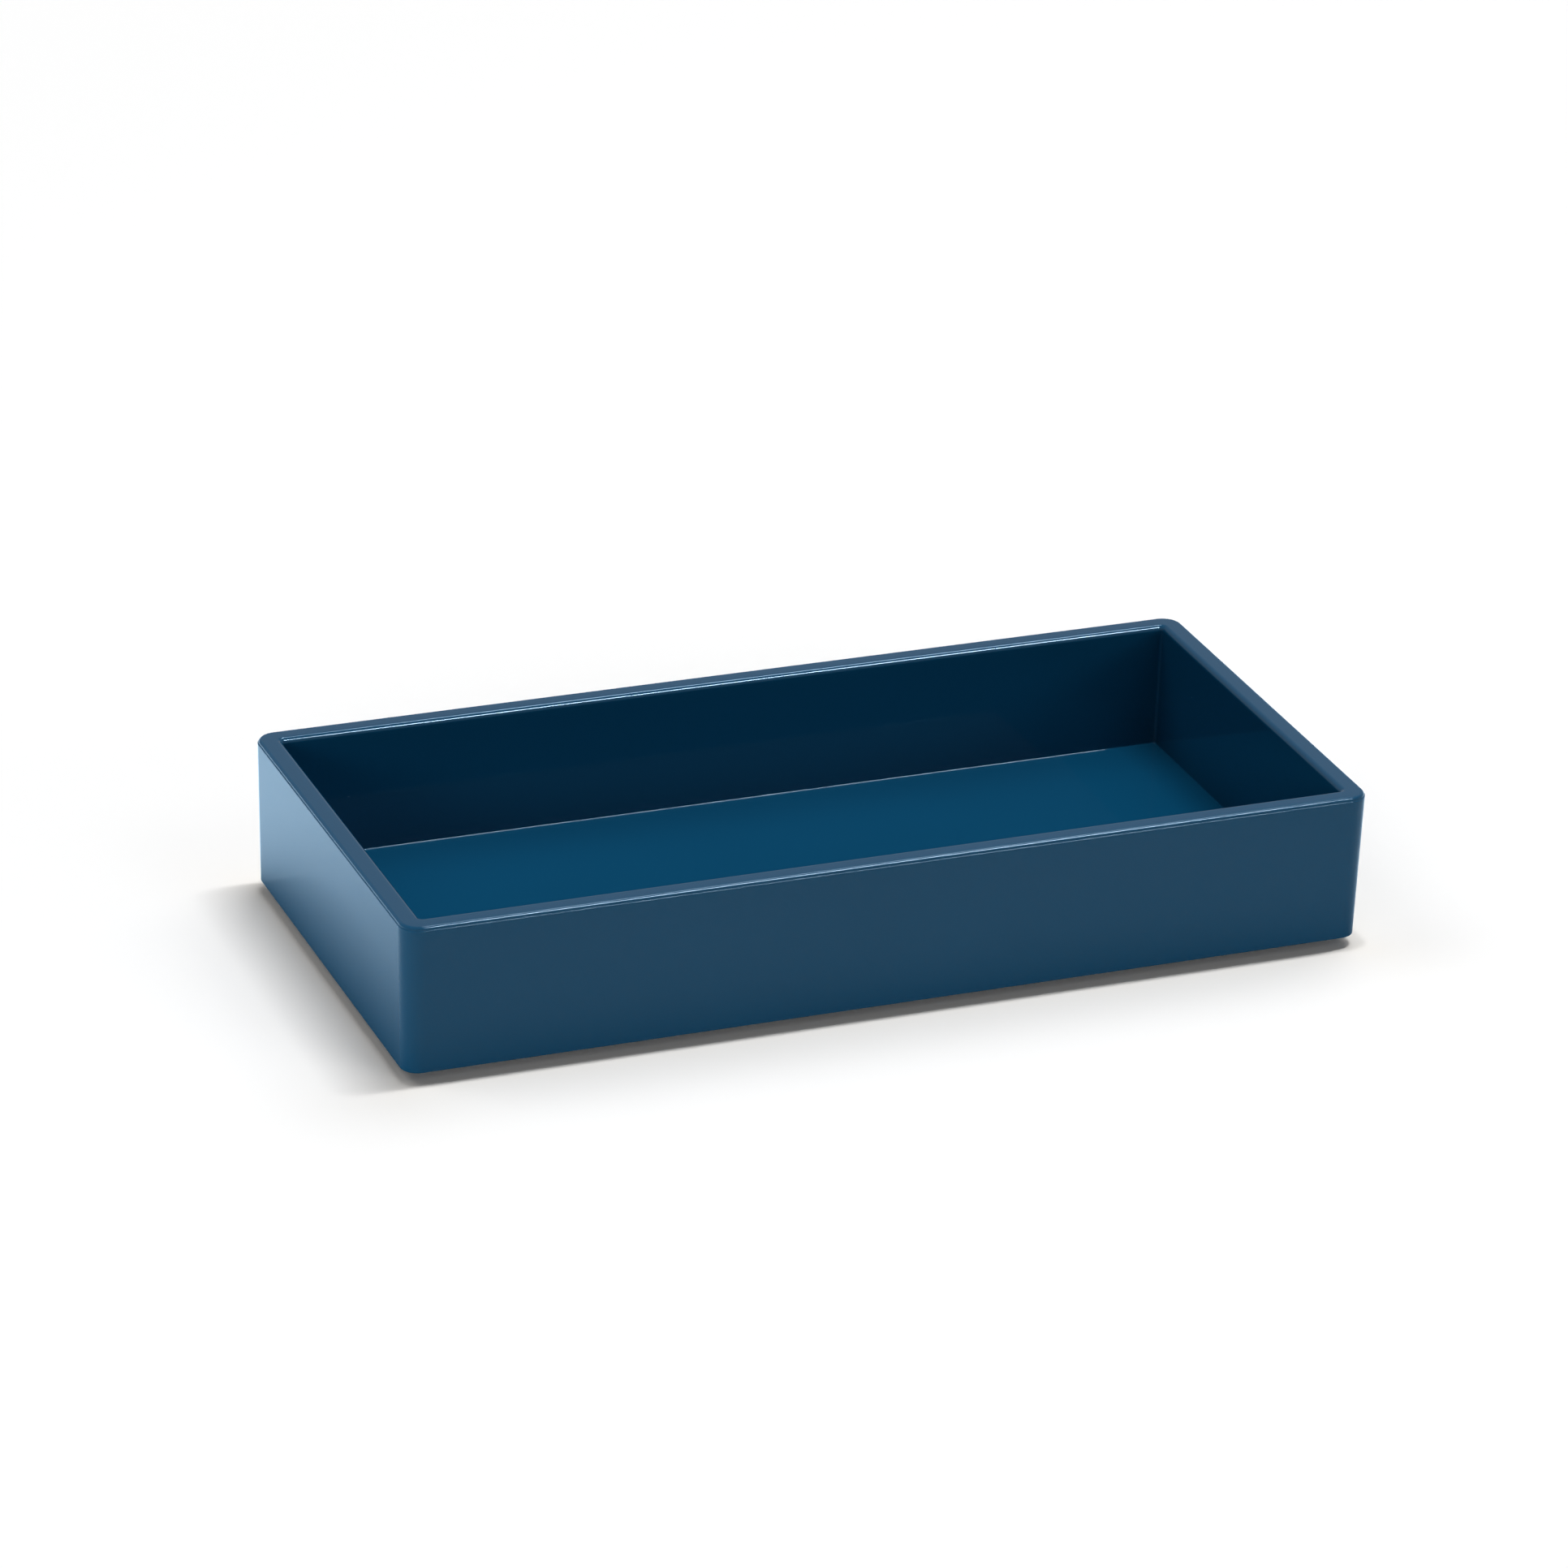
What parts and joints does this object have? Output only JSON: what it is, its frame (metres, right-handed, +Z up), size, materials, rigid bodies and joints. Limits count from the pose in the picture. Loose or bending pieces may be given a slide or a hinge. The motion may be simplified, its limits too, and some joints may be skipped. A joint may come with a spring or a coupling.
{
  "type": "accessory tray",
  "caption": "Open rectangular desk tray moulded in glossy plastic, with thick walls, a flat rounded rim, softly rounded corners and non-slip feet.",
  "frame": {"origin": "on the surface that the tray stands on, under the middle of the tray", "axes": "+X along the length, +Y towards the back long wall, +Z up, out of the open cavity"},
  "size_m": [0.1714, 0.0812, 0.0283],
  "materials": {
    "tray_plastic": "high gloss moulded plastic, dark slate blue",
    "foot_rubber": "matt moulded rubber, near black",
    "adhesive": "milky pressure-sensitive adhesive disc"
  },
  "bodies": {
    "root": {"tray_body": "tray_plastic", "foot_front_left": "foot_rubber", "foot_front_right": "foot_rubber", "foot_back_left": "foot_rubber", "foot_back_right": "foot_rubber", "foot_adhesive_front_left": "adhesive", "foot_adhesive_front_right": "adhesive", "foot_adhesive_back_left": "adhesive", "foot_adhesive_back_right": "adhesive"}
  },
  "joints": []
}
